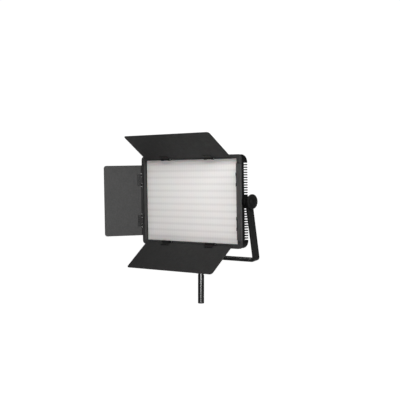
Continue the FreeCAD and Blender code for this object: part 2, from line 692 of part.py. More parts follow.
def control_screws():
    screws = []
    for i, sx in enumerate((-1, 1)):
        for j, sz in enumerate((-1, 1)):
            x, z = f"{sx} * box_screw_x", f"{sz} * box_screw_z"
            head = rod(f"box_screw_head_{i}{j}", "small_head_radius", "small_head_height",
                       (x, "box_back", z), "y")
            shank = rod(f"box_screw_shank_{i}{j}", "small_screw_radius",
                        "box_back - housing_back", (x, "housing_back", z), "y")
            screws.append(join(f"box_screw_{i}{j}", [head, shank]))
    keep("control_screws", group("box_screw_set", screws), HEAD)


def display():
    window = box("window_sheet", ("display_width - 2 * panel_gap", "window_thick",
                                  "display_height - 2 * panel_gap"),
                 ("0", "box_back - shelf_depth / 2", "display_z"))
    keep("display_window", window, HEAD)
    module = box("module_block", ("display_width + 2 * module_lap", "module_thick",
                                  "display_height + 2 * module_lap"),
                 ("0", "box_back - box_wall - panel_gap - module_thick / 2", "display_z"))
    keep("display_module", module, HEAD)


def dial(name, sign):
    """A fluted control dial and the 6 mm shaft that it turns."""
    where = FreeCAD.Placement(V(sign * size["dial_x"], size["box_back"] + size["dial_gap"],
                                size["dial_z"]), TURNS["y"])
    pose = HEAD.multiply(where)
    of = body(name + "_cap")
    corners = [("dial_shaft_radius", "0"), ("dial_radius", "0"), ("dial_radius", "1.6"),
               ("0.86 * dial_radius", "2.6"), ("0.78 * dial_radius", "dial_depth - 1.2"),
               ("0.7 * dial_radius", "dial_depth"), ("0", "dial_depth"),
               ("0", "dial_depth - dial_cap_wall"),
               ("dial_shaft_radius", "dial_depth - dial_cap_wall")]
    guess = [(3, 0), (13, 0), (13, 2), (11, 3), (10, 13), (9, 14), (0, 14), (0, 12), (3, 12)]
    revolve(of, corners, guess)
    keep(name, of, pose)
    shaft = rod(name + "_rod", "dial_shaft_radius",
                "dial_depth - dial_cap_wall + dial_shaft_depth + dial_gap",
                ("0", "0", "-dial_shaft_depth - dial_gap"))
    keep(name.replace("_dial", "_shaft"), shaft, pose)


def potentiometers():
    pots = []
    for i, sign in enumerate(("-1", "1")):
        x = f"{sign} * dial_x"
        case = rod(f"pot_case_{i}", "pot_radius", "pot_depth",
                   (x, "box_back - pot_neck_depth - pot_depth", "dial_z"), "y")
        neck = rod(f"pot_neck_{i}", "pot_neck_radius", "pot_neck_depth - panel_gap",
                   (x, "box_back - pot_neck_depth", "dial_z"), "y")
        bore = rod(f"pot_bore_{i}", "dial_shaft_radius + 0.05", "pot_depth",
                   (x, "box_back - pot_bore_depth", "dial_z"), "y")
        pots.append(cut(f"pot_{i}", join(f"pot_solid_{i}", [case, neck]), [bore]))
    keep("potentiometers", group("pot_pair", pots), HEAD)


def push_button(name, sign):
    """A domed push button with a flange that holds it in the box."""
    where = FreeCAD.Placement(V(sign * size["button_x"], size["box_back"],
                                size["button_z"]), TURNS["y"])
    of = body(name + "_cap")
    inner = "-box_wall - 0.3"
    rim = "button_radius + button_flange"
    corners = [("0", "-box_wall - 1.3"), (rim, "-box_wall - 1.3"), (rim, inner),
               ("button_radius", inner),
               ("button_radius", "button_proud - 0.6"),
               ("button_radius - 0.6", "button_proud"), ("0", "button_proud")]
    guess = [(0, -3.3), (6, -3.3), (6, -2.3), (5, -2.3), (5, 1.4), (4.4, 2), (0, 2)]
    revolve(of, corners, guess)
    keep(name, of, HEAD.multiply(where))


def button_switches():
    depth = "box_back - box_wall - 1.6 - button_travel - switch_depth / 2"
    switches = [box(f"switch_{i}", ("switch_side", "switch_depth", "switch_side"),
                    (f"{sign} * button_x", depth, "button_z"))
                for i, sign in enumerate(("-1", "1"))]
    keep("button_switches", group("switch_pair", switches), HEAD)


def rocker_switch():
    """A rocker on a short axle, in a case that snaps into the box."""
    flange = box("rocker_flange_plate", ("rocker_width + 2 * rocker_frame", "rocker_flange",
                                         "rocker_height + 2 * rocker_frame"),
                 ("rocker_x", "box_back + rocker_flange / 2", "rocker_z"))
    sleeve = box("rocker_sleeve", ("rocker_width - panel_gap", "rocker_depth",
                                   "rocker_height - panel_gap"),
                 ("rocker_x", "box_back - rocker_depth / 2 + 0.1", "rocker_z"))
    room = box("rocker_room", ("rocker_width - 2 * rocker_wall", "rocker_depth",
                               "rocker_height - 2 * rocker_wall"),
               ("rocker_x", "box_back - rocker_depth / 4", "rocker_z"))
    axle_length = "(rocker_height - rocker_wall)"
    socket = rod("rocker_axle_socket", "rocker_axle_radius + 0.06", f"{axle_length} + 0.3",
                 ("rocker_x", "box_back", f"rocker_z - {axle_length} / 2 - 0.15"))
    solid = join("rocker_solid", [flange, sleeve])
    keep("rocker_case", cut("rocker_shell", solid, [room, socket]), HEAD)
    of = body("rocker_cap")
    span = "(rocker_height - 2 * rocker_wall - 2 * rocker_cap_gap)"
    profile = sketch(of, "rocker_profile", "XY_Plane", f"-{span} / 2")
    half, top, low = "rocker_cap_half", "rocker_cap_proud", "-rocker_cap_depth"
    corners = [(f"-{half}", top), (f"-{half}", low), (half, low), (half, top),
               ("0", "rocker_cap_proud - rocker_cap_dip")]
    guess = [(-7.4, 3.2), (-7.4, -1.4), (7.4, -1.4), (7.4, 3.2), (0, 2)]
    polygon(profile, corners, guess)
    pad(of, profile, span)
    axle = rod("rocker_axle", "rocker_axle_radius", axle_length,
               ("0", "0", f"-{axle_length} / 2"))
    where = FreeCAD.Placement(V(size["rocker_x"], size["box_back"], size["rocker_z"]),
                              FreeCAD.Rotation())
    keep("power_rocker", join("rocker_on_axle", [of, axle]), HEAD.multiply(where))


def mains_inlet():
    """A recessed mains inlet with three blades. The connector goes in from behind."""
    face = box("inlet_face", ("inlet_width + 2 * inlet_flange", "inlet_flange",
                              "inlet_height + 2 * inlet_flange"),
               ("inlet_x", "box_back + inlet_flange / 2", "inlet_z"))
    shell = box("inlet_shell", ("inlet_width - 2 * panel_gap", "inlet_depth + 1",
                                "inlet_height - 2 * panel_gap"),
                ("inlet_x", "box_back - inlet_depth / 2 + 0.5", "inlet_z"))
    depth = "(inlet_depth - inlet_flange + 1)"
    room = box("inlet_room", ("inlet_width - 2 * inlet_wall", depth,
                              "inlet_height - 2.4 * inlet_wall"),
               ("inlet_x", f"box_back + inlet_flange + 1 - {depth} / 2", "inlet_z"))
    keep("mains_inlet", cut("inlet", join("inlet_solid", [face, shell]), [room]), HEAD)
    blades = []
    for i, (dx, dz) in enumerate(((-7, -2), (0, 3), (7, -2))):
        blades.append(box(f"inlet_blade_{i}", ("blade_width", "blade_length",
                                               "blade_height"),
                          (f"inlet_x + {dx}", "box_back + 2 * inlet_flange - inlet_depth"
                           " + blade_length / 2", f"inlet_z + {dz}")))
    keep("inlet_pins", group("inlet_blade_set", blades), HEAD)


def inner_electronics():
    supply = box("supply_block", ("supply_width", "supply_depth", "supply_height"),
                 ("supply_x", "floor_back + panel_gap + supply_depth / 2", "supply_z"))
    keep("power_supply", supply, HEAD)
    board = box("driver_block", ("driver_width", "board_thick", "driver_height"),
                ("driver_x", "floor_back + driver_lift + board_thick / 2", "driver_z"))
    chips = []
    for i, sx in enumerate(("-1", "1")):
        for j, sz in enumerate(("-1", "1")):
            chips.append(box(f"driver_chip_{i}{j}", ("chip_width", "chip_depth",
                                                     "chip_height"),
                             (f"driver_x + {sx} * chip_x", "floor_back + driver_lift"
                              " + board_thick - 0.1 + chip_depth / 2",
                              f"driver_z + {sz} * chip_z")))
    keep("driver_board", join("driver_assembly", [board] + chips), HEAD)
    back = "(floor_back + driver_lift + board_thick)"
    top = "(driver_z + driver_height / 2)"
    through = box("ribbon_through", ("ribbon_width", f"{back} - cavity_back",
                                     "ribbon_thick"),
                  ("ribbon_x", f"({back} + cavity_back) / 2", "ribbon_z"))
    down = box("ribbon_down", ("ribbon_width", "ribbon_thick", f"ribbon_z - {top}"),
               ("ribbon_x", f"{back} - ribbon_thick / 2", f"(ribbon_z + {top}) / 2"))
    keep("led_ribbon", join("ribbon", [through, down]), HEAD)


# ---------------------------------------------------------------- barndoor leaves


def leaf_frame(inward, out, opening, front):
    """Axes of a leaf: X along the hinge, Y away from it, Z the side that the sheet lies on."""
    angle = math.radians(opening)
    away = FORWARD * math.cos(angle) - inward * math.sin(angle)
    normal = (FORWARD * math.sin(angle) + inward * math.cos(angle)) * (-1 if front else 1)
    at = inward * -out + FORWARD * size["hinge_front"]
    return HEAD.multiply(FreeCAD.Placement(
        at, FreeCAD.Rotation(away.cross(normal), away, normal, "YZX")))


LEAVES = {
    "top": (V(0, 0, -1), "wide"),
    "bottom": (V(0, 0, 1), "wide"),
    "left": (V(1, 0, 0), "side"),
    "right": (V(-1, 0, 0), "side"),
}


def leaf_sheet(side, kind, pose):
    """A flat sheet. A side leaf runs in past its hinge line between its hinges."""
    of = body(f"leaf_{side}_sheet")
    outline = sketch(of, f"leaf_{side}_outline", "XY_Plane", "leaf_offset")
    start = f"{kind}_leaf_start"
    reach = f"({kind}_leaf_reach - {start})"
    rectangle(outline, f"{kind}_leaf_width", reach, "0", f"{start} + {reach} / 2")
    for hinge in ("-1", "1"):
        for rivet in ("-1", "1"):
            circle(outline, "rivet_radius",
                   f"{hinge} * {kind}_hinge_apart + {rivet} * rivet_apart", "rivet_reach")
    pad(of, outline, "leaf_thick")
    if size[start] < size["notch_reach"]:
        notches = sketch(of, f"leaf_{side}_notches", "XY_Plane", "leaf_offset")
        for hinge in ("-1", "1"):
            rectangle(notches, "hinge_length + 2 * notch_gap", "2 * notch_reach",
                      f"{hinge} * {kind}_hinge_apart", "0")
        pocket(of, notches, "2 * leaf_thick", both=True)
    far = size[f"{kind}_leaf_reach"]
    fillet(of, "leaf_corner", lambda middle, way: abs(way.z) > 0.9 and middle.y > far - 0.1)
    keep(f"leaf_{side}", of, pose)


def plate_low(kind):
    """The side of the sheet that a leaf's hinge plates lie on: the one that faces the light."""
    return "leaf_offset - hinge_plate_thick" if kind == "wide" else "leaf_offset + leaf_thick"


def hinge_plates(side, kind, pose):
    plates = []
    middle = f"{plate_low(kind)} + hinge_plate_thick / 2"
    for i, hinge in enumerate(("-1", "1")):
        x = f"{hinge} * {kind}_hinge_apart"
        tag = f"{side}_{i}"
        wide = box(f"plate_{tag}", ("hinge_length - 2 * plate_inset",
                                    "hinge_plate_reach - plate_start",
                                    "hinge_plate_thick"),
                   (x, "(hinge_plate_reach + plate_start) / 2", middle))
        neck = box(f"neck_{tag}", ("2 * leaf_knuckle_half", "plate_start",
                                   "hinge_plate_thick"),
                   (x, "plate_start - 1", middle))
        knuckle = rod(f"knuckle_{tag}", "leaf_knuckle_radius", "2 * leaf_knuckle_half",
                      (f"{x} - leaf_knuckle_half", "0", "0"), "x")
        tools = [rod(f"knuckle_bore_{tag}", "hinge_pin_radius + hinge_running",
                     "hinge_length", (f"{x} - hinge_length / 2", "0", "0"), "x")]
        for j, rivet in enumerate(("-1", "1")):
            tools.append(rod(f"plate_hole_{tag}_{j}", "rivet_radius", "6",
                             (f"{x} + {rivet} * rivet_apart", "rivet_reach", "-3")))
        plates.append(cut(f"hinge_plate_{tag}", join(f"plate_solid_{tag}",
                                                     [wide, neck, knuckle]), tools))
    keep(f"hinge_plates_{side}", group(f"hinge_plate_pair_{side}", plates), pose)


def leaf_rivets(side, kind, pose):
    rivets = []
    low = "leaf_offset - hinge_plate_thick" if kind == "wide" else "leaf_offset"
    for i, hinge in enumerate(("-1", "1")):
        for j, rivet in enumerate(("-1", "1")):
            x = f"{hinge} * {kind}_hinge_apart + {rivet} * rivet_apart"
            tag = f"{side}_{i}{j}"
            shank = rod(f"rivet_shank_{tag}", "rivet_radius",
                        "hinge_plate_thick + leaf_thick", (x, "rivet_reach", low))
            lower = rod(f"rivet_low_{tag}", "rivet_head", "rivet_proud",
                        (x, "rivet_reach", f"{low} - rivet_proud"))
            upper = rod(f"rivet_top_{tag}", "rivet_head", "rivet_proud",
                        (x, "rivet_reach", f"{low} + hinge_plate_thick + leaf_thick"))
            rivets.append(join(f"rivet_{tag}", [shank, lower, upper]))
    keep(f"leaf_rivets_{side}", group(f"rivet_set_{side}", rivets), pose)


def frame_hinge(side, kind, i, hinge):
    """The frame's half of one hinge, drawn with Y towards the middle of the light."""
    x = f"{hinge} * {kind}_hinge_apart"
    tag = f"{side}_{i}"
    plate = box(f"bracket_plate_{tag}", ("hinge_length", "bracket_inner + bracket_outer",
                                         "bracket_thick"),
                (x, "(bracket_inner - bracket_outer) / 2",
                 "bracket_thick / 2 - hinge_front"))
    ends = []
    for j, end in enumerate(("-1", "1")):
        length = "(hinge_length / 2 - leaf_knuckle_half - knuckle_gap)"
        middle = f"{x} + {end} * (hinge_length / 2 - {length} / 2)"
        ends.append(rod(f"bracket_knuckle_{tag}_{j}", "knuckle_radius", length,
                        (f"{middle} - {length} / 2", "0", "0"), "x"))
    bore = rod(f"bracket_bore_{tag}", "hinge_pin_radius", "hinge_length + 2",
               (f"{x} - hinge_length / 2 - 1", "0", "0"), "x")
    bracket = cut(f"bracket_{tag}", join(f"bracket_solid_{tag}", [plate] + ends), [bore])
    pin = rod(f"hinge_pin_{tag}", "hinge_pin_radius", "hinge_length + 2 * pin_proud",
              (f"{x} - hinge_length / 2 - pin_proud", "0", "0"), "x")
    return bracket, pin


def barndoors():
    brackets, pins = [], []
    for side, (inward, kind) in LEAVES.items():
        out = size[f"{kind}_hinge_out"]
        pose = leaf_frame(inward, out, size[f"{side}_opening"], kind == "wide")
        leaf_sheet(side, kind, pose)
        hinge_plates(side, kind, pose)
        leaf_rivets(side, kind, pose)
        # the frame's half is drawn with the sheet side facing forward and the leaf shut
        shut = HEAD.inverse().multiply(leaf_frame(inward, out, -90, True))
        for i, hinge in enumerate(("-1", "1")):
            for piece, pile in zip(frame_hinge(side, kind, i, hinge), (brackets, pins)):
                seated = group(piece.Name + "_seated", [piece])
                seated.Placement = shut
                pile.append(seated)
    keep("hinge_brackets", group("bracket_set", brackets), HEAD)
    keep("hinge_pins", group("hinge_pin_set", pins), HEAD)


# ---------------------------------------------------------------- build and write

stand_spigot()
receiver_socket()
clamp_knob()
yoke_fork()
fork_rivets()
knuckle_bolt()
knuckle_knob()
yoke_bracket()
for knob_side, knob_sign in (("left", -1), ("right", 1)):
    tilt_knob(knob_side, knob_sign)
knob_washers()
friction_spacers()
barndoor_frame()
front_bezel()
frame_screws()
diffuser_panel()
diffuser_gasket()
light_engine()
rear_housing()
pivot_inserts()
control_housing()
control_screws()
display()
dial("dimmer_dial", -1)
dial("colour_dial", 1)
potentiometers()
push_button("mode_button", -1)
push_button("channel_button", 1)
button_switches()
rocker_switch()
mains_inlet()
inner_electronics()
barndoors()
doc.recompute()

failed = [obj.Name for obj in doc.Objects if "Invalid" in obj.State or "Error" in obj.State]
bad = [name for name, obj in parts.items() if obj.Shape.isNull() or not obj.Shape.isValid()
       or not obj.Shape.Solids]
if failed or bad:
    raise SystemExit(f"failed objects {failed}, bad shapes {bad}")

os.makedirs("parts", exist_ok=True)
for old in os.listdir("parts"):
    if old.endswith(".step") and old[:-5] not in parts:
        os.remove(os.path.join("parts", old))
for name, obj in parts.items():
    obj.Shape.exportStep(f"parts/{name}.step")
print(len(parts), "nodes,", sum(len(obj.Shape.Solids) for obj in parts.values()), "solids")
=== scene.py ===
import json
import math

import bmesh
import bpy
from mathutils import Matrix, Quaternion, Vector

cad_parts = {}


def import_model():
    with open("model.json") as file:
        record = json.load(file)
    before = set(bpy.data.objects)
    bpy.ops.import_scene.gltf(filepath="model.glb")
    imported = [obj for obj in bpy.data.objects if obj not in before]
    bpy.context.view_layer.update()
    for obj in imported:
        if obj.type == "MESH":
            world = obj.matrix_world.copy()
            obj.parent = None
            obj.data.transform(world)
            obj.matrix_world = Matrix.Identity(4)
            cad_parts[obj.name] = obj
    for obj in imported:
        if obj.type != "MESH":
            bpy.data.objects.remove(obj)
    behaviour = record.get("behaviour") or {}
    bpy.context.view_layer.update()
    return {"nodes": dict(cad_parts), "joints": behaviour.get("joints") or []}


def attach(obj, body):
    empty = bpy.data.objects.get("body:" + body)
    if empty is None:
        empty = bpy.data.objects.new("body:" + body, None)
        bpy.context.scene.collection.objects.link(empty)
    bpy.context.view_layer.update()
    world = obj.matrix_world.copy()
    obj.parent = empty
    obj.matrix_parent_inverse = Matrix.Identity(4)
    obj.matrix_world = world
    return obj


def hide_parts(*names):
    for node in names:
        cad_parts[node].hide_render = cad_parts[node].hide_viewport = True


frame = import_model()

# LED panel light: the looks. Metres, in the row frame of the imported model. Head pieces are
# drawn upright, X across, Y back from the front face of the barndoor frame and Z up, and
# then placed with HEAD; MM turns millimetres into metres.
MM = 0.001
nodes = frame["nodes"]
joints = {joint["name"]: joint for joint in frame["joints"]}
TAU = 2 * math.pi
ARC_STEPS = 6                                # straight edges in a quarter round


# ---------------------------------------------------------------- places read from the frame


def head_lean():
    """The lean of the head about X, read from a side leaf's hinge, which is upright on it."""
    up = Vector(joints["leaf_left_hinge"]["axis"])
    if up.z < 0:
        up.negate()
    return math.atan2(-up.y, up.z)


PIVOT = Vector(joints["head_tilt"]["pos_m"])
HEAD_TURN = Matrix.Translation(PIVOT) @ Matrix.Rotation(head_lean(), 4, "X")


def local_box(node, pose):
    """Lowest and highest corner of a node, measured along the axes of a pose."""
    back = pose.inverted()
    points = [back @ v.co for v in nodes[node].data.vertices]
    low = Vector([min(p[i] for p in points) for i in range(3)])
    high = Vector([max(p[i] for p in points) for i in range(3)])
    return low, high


FRONT = local_box("barndoor_frame", HEAD_TURN)[0].y
HEAD = HEAD_TURN @ Matrix.Translation((0, FRONT, 0))


def islands(node, pose):
    """Lowest and highest corner of each separate solid of a node, along a pose's axes."""
    mesh = bmesh.new()
    mesh.from_mesh(nodes[node].data)
    bmesh.ops.remove_doubles(mesh, verts=mesh.verts, dist=0.001 * MM)
    back = pose.inverted()
    seen, found = set(), []
    for start in mesh.verts:
        if start in seen:
            continue
        stack, part = [start], []
        seen.add(start)
        while stack:
            vert = stack.pop()
            part.append(back @ vert.co)
            for edge in vert.link_edges:
                other = edge.other_vert(vert)
                if other not in seen:
                    seen.add(other)
                    stack.append(other)
        low = Vector([min(p[i] for p in part) for i in range(3)])
        high = Vector([max(p[i] for p in part) for i in range(3)])
        found.append((low, high))
    mesh.free()
    return found


LED_ROWS = islands("led_rows", HEAD)
ROW_HEIGHTS = [(low.z + high.z) / 2 for low, high in LED_ROWS]
ROW_PITCH = (max(ROW_HEIGHTS) - min(ROW_HEIGHTS)) / (len(LED_ROWS) - 1)
LED_PITCH = 8.35 * MM                        # between the LEDs of a row


# ---------------------------------------------------------------- materials


class Nodes:
    """A short way to wire one material's shader."""

    def __init__(self, name):
        self.material = bpy.data.materials.new(name)
        self.material.use_nodes = True
        self.tree = self.material.node_tree
        self.shader = self.tree.nodes["Principled BSDF"]
        self.where = self.add("ShaderNodeTexCoord").outputs["Object"]

    def add(self, kind, **values):
        node = self.tree.nodes.new(kind)
        for key, value in values.items():
            if hasattr(node, key):
                setattr(node, key, value)
            else:
                node.inputs[key.replace("_", " ")].default_value = value
        return node

    def link(self, out, into):
        self.tree.links.new(out, into)

    def noise(self, scale, detail=3.0, rough=0.55, stretch=(1, 1, 1)):
        """A pattern of about scale blotches to the metre."""
        mapping = self.add("ShaderNodeMapping")
        mapping.inputs["Scale"].default_value = stretch
        self.link(self.where, mapping.inputs["Vector"])
        tex = self.add("ShaderNodeTexNoise", Scale=scale, Detail=detail, Roughness=rough)
        self.link(mapping.outputs[0], tex.inputs["Vector"])
        return tex.outputs["Fac"]

    def math(self, kind, a, b=0.0, c=0.0):
        """One sum; each of a, b and c is a number or another node's result."""
        node = self.add("ShaderNodeMath", operation=kind)
        for socket, value in zip(node.inputs, (a, b, c)):
            if isinstance(value, (int, float)):
                socket.default_value = value
            else:
                self.link(value, socket)
        return node.outputs[0]

    def span(self, value, low, high, to_low, to_high):
        """Stretches low..high to to_low..to_high, and goes no further at either end."""
        node = self.add("ShaderNodeMapRange")
        self.link(value, node.inputs["Value"])
        for key, number in zip(("From Min", "From Max", "To Min", "To Max"),
                               (low, high, to_low, to_high)):
            node.inputs[key].default_value = number
        return node.outputs[0]

    def mix(self, factor, a, b):
        """Colour a where the factor is 0, and b where it is 1."""
        node = self.add("ShaderNodeMix", data_type="RGBA")
        self.link(factor, node.inputs[0])
        for socket, value in ((node.inputs[6], a), (node.inputs[7], b)):
            if isinstance(value, tuple):
                socket.default_value = (*value, 1)
            else:
                self.link(value, socket)
        return node.outputs[2]

    def bump(self, height, strength, distance):
        node = self.add("ShaderNodeBump", Strength=strength, Distance=distance)
        self.link(height, node.inputs["Height"])
        self.link(node.outputs[0], self.shader.inputs["Normal"])

    def edges(self, reach):
        """0 on flat faces, rising to 1 within reach of a sharp edge."""
        rounded = self.add("ShaderNodeBevel", samples=4, Radius=reach)
        flat = self.add("ShaderNodeNewGeometry")
        both = self.add("ShaderNodeVectorMath", operation="DOT_PRODUCT")
        self.link(rounded.outputs[0], both.inputs[0])
        self.link(flat.outputs["Normal"], both.inputs[1])
        return self.span(both.outputs["Value"], 0.98, 0.80, 0.0, 1.0)

    def open_air(self, reach, darkest):
        """1 on open faces, falling to darkest in the crevices beside other pieces: the mask for
        painted shade.
        """
        near = self.add("ShaderNodeAmbientOcclusion", samples=6, Distance=reach)
        return self.span(near.outputs["AO"], 0.25, 0.85, darkest, 1.0)

    def from_line(self, point, axis):
        """How far a place lies from a straight line."""
        arm = self.add("ShaderNodeVectorMath", operation="SUBTRACT")
        self.link(self.where, arm.inputs[0])
        arm.inputs[1].default_value = point
        across = self.add("ShaderNodeVectorMath", operation="CROSS_PRODUCT")
        self.link(arm.outputs[0], across.inputs[0])
        across.inputs[1].default_value = axis
        length = self.add("ShaderNodeVectorMath", operation="LENGTH")
        self.link(across.outputs[0], length.inputs[0])
        return length.outputs["Value"]

    def set(self, **values):
        for key, value in values.items():
            self.shader.inputs[key.replace("_", " ")].default_value = value


# the black of painted shade in crevices and of the painted shadow along a leaf's hinge
UNLIT = (0.0005, 0.0005, 0.0005)             # where no light comes out of a crevice


def grey(level, warm=0.0):
    """A linear grey, a little towards red if warm."""
    return (level * (1 + warm), level, level * (1 - warm))


def coat(name, colour, rough, grain=2600.0, depth=0.06 * MM, mottle=0.14, gloss=0.5,
         strength=0.5, wear=0.0, crevice_shade=1.0, lacquer=0.0, hinge=None, cloud=38.0):
    """A painted or moulded surface: grain of a given depth in the bump, a cloudy mottle in
    colour and sheen, edges that handling has worn paler, and painted shade that darkens the
    crevices as far as its argument says (1 leaves them alone). A leaf also gets a painted shadow
    along its hinge, black where the frame keeps the light off."""
    hinge_shadow_start, hinge_shadow_end = 3.6 * MM, 4.4 * MM        # from the hinge's axis
    edge_reach, crevice_reach = 0.6 * MM, 7 * MM
    m = Nodes(name)
    patches = m.noise(cloud, 4.0, 0.6)
    speck = m.noise(grain, 2.0, 0.6)
    low = tuple(c * (1 - mottle) for c in colour)
    high = tuple(c * (1 + mottle) for c in colour)
    clouded = m.mix(m.span(patches, 0.35, 0.65, 0, 1), low, high)
    fine = tuple(c * 1.35 + 0.002 for c in colour)
    body = m.mix(m.span(speck, 0.56, 0.74, 0, 0.5), clouded, fine)
    if wear:
        patchy = m.span(m.noise(160.0, 4.0, 0.65), 0.42, 0.68, 0.1, wear)
        rubbed = tuple(c * 2.2 + 0.02 for c in colour)
        body = m.mix(m.math("MULTIPLY", m.edges(edge_reach), patchy), body, rubbed)
    # painted shadow: black within a few millimetres of the hinge's axis, where the frame keeps
    # the light off the leaf
    if hinge:
        away = m.from_line(hinge["pos_m"], hinge["axis"])
        body = m.mix(m.span(away, hinge_shadow_start, hinge_shadow_end, 0.0, 1.0), UNLIT, body)
    # painted shade: ambient occlusion darkens the crevices beside other pieces towards black
    if crevice_shade < 1:
        body = m.mix(m.open_air(crevice_reach, crevice_shade), UNLIT, body)
    m.link(body, m.shader.inputs[0])
    m.link(m.span(m.noise(90.0), 0.3, 0.7, rough - 0.05, rough + 0.05),
           m.shader.inputs["Roughness"])
    m.set(Specular_IOR_Level=gloss, Coat_Weight=lacquer, Coat_Roughness=0.12)
    m.bump(speck, strength, depth)
    return m.material


def brushed(name, colour, rough, stretch=(1, 1, 60)):
    """Bare metal: a fine grain, drawn out into lines across the axis that is stretched."""
    m = Nodes(name)
    lines = m.noise(260.0, 3.0, 0.7, stretch)
    low = tuple(c * 0.8 for c in colour)
    m.link(m.mix(m.span(lines, 0.3, 0.7, 0, 1), low, colour), m.shader.inputs[0])
    m.link(m.span(m.noise(120.0), 0.3, 0.7, rough - 0.06, rough + 0.06),
           m.shader.inputs["Roughness"])
    m.set(Metallic=1.0)
    m.bump(lines, 0.25, 0.03 * MM)
    return m.material


def opal_diffuser(low, high):
    """Frosted acrylic: the rows behind it show as soft darker lines, the LEDs as a fine grid,
    and painted shade darkens it a little towards its edges, where the frame and the leaves shade
    it."""
    pale, shaded = (0.80, 0.775, 0.76), (0.60, 0.575, 0.565)
    line_half = 0.27                                 # in row pitches
    line_depth, grid_depth, cloud_depth = 0.5, 0.13, 0.06
    # painted shade along the sheet's edges: how wide it reaches, how round its corners are and
    # how dark it gets
    rim_shade_width, rim_shade_corner, rim_shade_depth = 28 * MM, 15 * MM, 0.42
    whole_rows = 20.0                                # keeps the count of rows above zero
    m = Nodes("opal_acrylic")
    axes = m.add("ShaderNodeSeparateXYZ")
    m.link(m.where, axes.inputs[0])
    x, z = axes.outputs["X"], axes.outputs["Z"]
    row = m.math("ADD", m.math("DIVIDE", z, ROW_PITCH), len(LED_ROWS) / 2 + whole_rows)
    off_line = m.math("ABSOLUTE", m.math("SUBTRACT", m.math("FRACT", row), 0.5))
    line = m.math("SMOOTH_MIN", m.span(off_line, 0.0, line_half, 1.0, 0.0), 0.85, 0.3)
    led = m.math("FRACT", m.math("DIVIDE", x, LED_PITCH))
    off_led = m.math("ABSOLUTE", m.math("SUBTRACT", led, 0.5))
    grid = m.span(off_led, 0.1, 0.5, 0.0, 1.0)
    cloud = m.span(m.noise(5.0, 2.0), 0.3, 0.7, -cloud_depth, cloud_depth)
    inward = []
    for at, near, far in ((x, low.x, high.x), (z, low.z, high.z)):
        off_centre = m.math("ABSOLUTE", m.math("SUBTRACT", at, (near + far) / 2))
        inward.append(m.math("SUBTRACT", (far - near) / 2, off_centre))
    # painted shade: darker towards the edges of the sheet
    rim_shade = m.span(m.math("SMOOTH_MIN", *inward, rim_shade_corner), 0.0, rim_shade_width,
                    rim_shade_depth, 0.0)
    shade = m.math("ADD", m.math("MULTIPLY", line, line_depth),
                   m.math("MULTIPLY", grid, grid_depth))
    shade = m.math("ADD", m.math("ADD", shade, cloud), rim_shade)
    m.link(m.mix(shade, pale, shaded), m.shader.inputs[0])
    m.link(m.span(m.noise(900.0), 0.3, 0.7, 0.42, 0.55), m.shader.inputs["Roughness"])
    m.set(Specular_IOR_Level=0.35, Subsurface_Weight=0.15, Subsurface_Scale=4 * MM)
    m.bump(m.noise(1500.0, 2.0), 0.15, 0.04 * MM)
    return m.material


def tinted_window():
    """The dark plastic of the display's window, with faint smears."""
    m = Nodes("tinted_window")
    smear = m.noise(30.0, 3.0)
    m.link(m.mix(smear, (0.006, 0.007, 0.009), (0.012, 0.013, 0.016)), m.shader.inputs[0])
    m.link(m.span(smear, 0.3, 0.7, 0.38, 0.46), m.shader.inputs["Roughness"])
    m.set(Specular_IOR_Level=0.3)
    return m.material


def phosphor():
    """The yellow top of an LED chip."""
    m = Nodes("led_phosphor")
    m.link(m.mix(m.noise(700.0), (0.62, 0.5, 0.12), (0.75, 0.63, 0.2)), m.shader.inputs[0])
    m.set(Roughness=0.35)
    return m.material


# every finish on the light and inside it
MAT = {
    # the frame has painted shade in its crevices
    "frame": coat("frame_powder_coat", grey(0.029), 0.55, grain=1800.0, depth=0.1 * MM,
                  gloss=0.3, wear=0.5, crevice_shade=0.5),
    "housing": coat("housing_anodised", grey(0.005), 0.5, grain=2600.0, gloss=0.14,
                    wear=0.4),
    "bezel": coat("bezel_plastic", grey(0.005), 0.45, gloss=0.16),
    "yoke": coat("yoke_paint", grey(0.010), 0.56, grain=2000.0, depth=0.08 * MM, gloss=0.17,
                 wear=0.5),
    "knob": coat("knob_plastic", grey(0.006), 0.5, grain=2200.0, gloss=0.2, wear=0.3),
    "box": coat("control_box_plastic", grey(0.014), 0.6, grain=1700.0, depth=0.15 * MM,
                gloss=0.3, wear=0.3),
    "dial": coat("dial_plastic", grey(0.02), 0.45, gloss=0.35),
    "button": coat("button_rubber", grey(0.07), 0.75, gloss=0.25),
    "rocker": coat("rocker_satin", grey(0.010), 0.4, depth=0.02 * MM, gloss=0.3),
    "hinge": coat("hinge_black", grey(0.008), 0.42, gloss=0.22, wear=0.3),
    "rivet": coat("rivet_black", grey(0.008), 0.4, gloss=0.3, wear=0.3),
    "screw": brushed("black_oxide_steel", grey(0.06), 0.4, (1, 1, 1)),
    "steel": brushed("zinc_steel", (0.56, 0.56, 0.57), 0.32, (1, 1, 1)),
    "spigot": coat("spigot_anodised", grey(0.014), 0.2, grain=3000.0, depth=0.002 * MM,
                   gloss=1.0, strength=0.1, lacquer=1.0),
    "cast": coat("cast_black", grey(0.03), 0.5, grain=900.0, depth=0.2 * MM),
    "opal": opal_diffuser(*local_box("diffuser_panel", HEAD)),
    "foam": coat("gasket_foam", grey(0.03), 0.9, grain=1200.0, depth=0.3 * MM),
    "pad": coat("thermal_pad_grey", (0.35, 0.37, 0.4), 0.8),
    "board": coat("led_board_white", (0.75, 0.75, 0.72), 0.45),
    "green": coat("driver_board_green", (0.03, 0.14, 0.06), 0.4),
    "supply": brushed("supply_sheet", (0.6, 0.6, 0.6), 0.35),
    "ribbon": coat("ribbon_grey", (0.45, 0.45, 0.45), 0.55, grain=600.0),
    "screen": tinted_window(),
    "phosphor": phosphor(),
    "print": coat("printed_mark", grey(0.5), 0.6),
}
